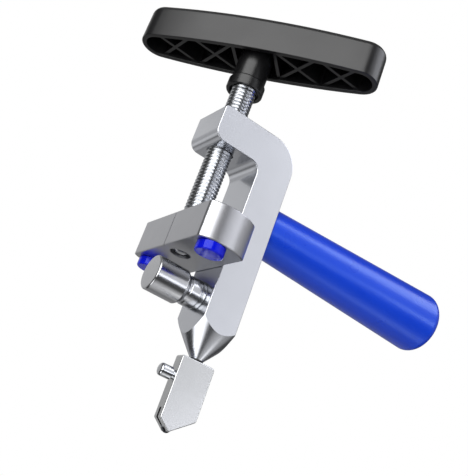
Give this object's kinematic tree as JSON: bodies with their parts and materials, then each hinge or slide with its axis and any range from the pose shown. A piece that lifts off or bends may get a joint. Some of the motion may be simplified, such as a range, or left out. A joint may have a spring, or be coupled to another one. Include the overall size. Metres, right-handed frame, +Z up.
{
  "type": "glass cutter",
  "caption": "Hand-held glass and tile cutter and breaker: C-shaped frame with side grip, screw press with T-handle over an anvil pin, and a wheel cutter head below.",
  "frame": {"origin": "on the axis of the anvil pin, directly below the lead screw", "axes": "+Z up along the lead screw to the T-handle, +X from the screw towards the grip, Y across the frame's width"},
  "size_m": [0.1588, 0.0754, 0.1653],
  "materials": {
    "frame_aluminium": "satin machined bar",
    "zinc_screw": "bright zinc plated thread",
    "black_plastic": "fine moulded texture",
    "plain_steel": "turned",
    "block_aluminium": "bead blasted and turned ends",
    "bronze": "turned",
    "blue_rubber": "moulded, slight gloss",
    "pin_steel": "polished, turned",
    "blue_grip": "smooth satin gloss",
    "head_steel": "satin nickel plated",
    "wheel_carbide": "ground",
    "black_rubber": "matt"
  },
  "bodies": {
    "frame": {"c_frame": "frame_aluminium", "anvil_pin": "pin_steel", "anvil_collar": "plain_steel", "grip": "blue_grip", "grip_insert": "bronze", "grip_stud": "plain_steel", "cutter_post": "plain_steel", "head_washer": "black_rubber"},
    "press": {"press_block": "block_aluminium", "thrust_washer": "bronze", "foot_near": "blue_rubber", "foot_far": "blue_rubber"},
    "screw": {"lead_screw": "zinc_screw", "retaining_ring": "plain_steel", "t_handle": "black_plastic", "handle_nut": "plain_steel"},
    "head": {"cutter_head": "head_steel", "wheel_axle": "plain_steel"},
    "wheel": {"cutter_wheel": "wheel_carbide"},
    "lock_screw": {"head_lock_screw": "plain_steel"}
  },
  "joints": [
    {"name": "press_slide", "type": "slide", "parent": "frame", "child": "press", "axis": [0, 0, 1], "range_m": [-0.004, 0.025]},
    {"name": "screw_turn", "type": "hinge", "parent": "press", "child": "screw", "pos_m": [0, 0, 0.06], "axis": [0, 0, 1], "range_deg": [-960, 6000]},
    {"name": "head_swivel", "type": "hinge", "parent": "frame", "child": "head", "pos_m": [0.0214, 0, -0.03], "axis": [0, 0, 1], "range_deg": [-20, 20]},
    {"name": "wheel_spin", "type": "hinge", "parent": "head", "child": "wheel", "pos_m": [0.0194, 0, -0.04825], "axis": [0, 1, 0], "continuous": true},
    {"name": "lock_turn", "type": "hinge", "parent": "head", "child": "lock_screw", "pos_m": [0.012, 0, -0.03025], "axis": [-1, 0, 0], "range_deg": [0, 720]}
  ],
  "couplings": [
    {"joint": "screw_turn", "follows": "press_slide", "rad_per_m": 4188.8}
  ]
}
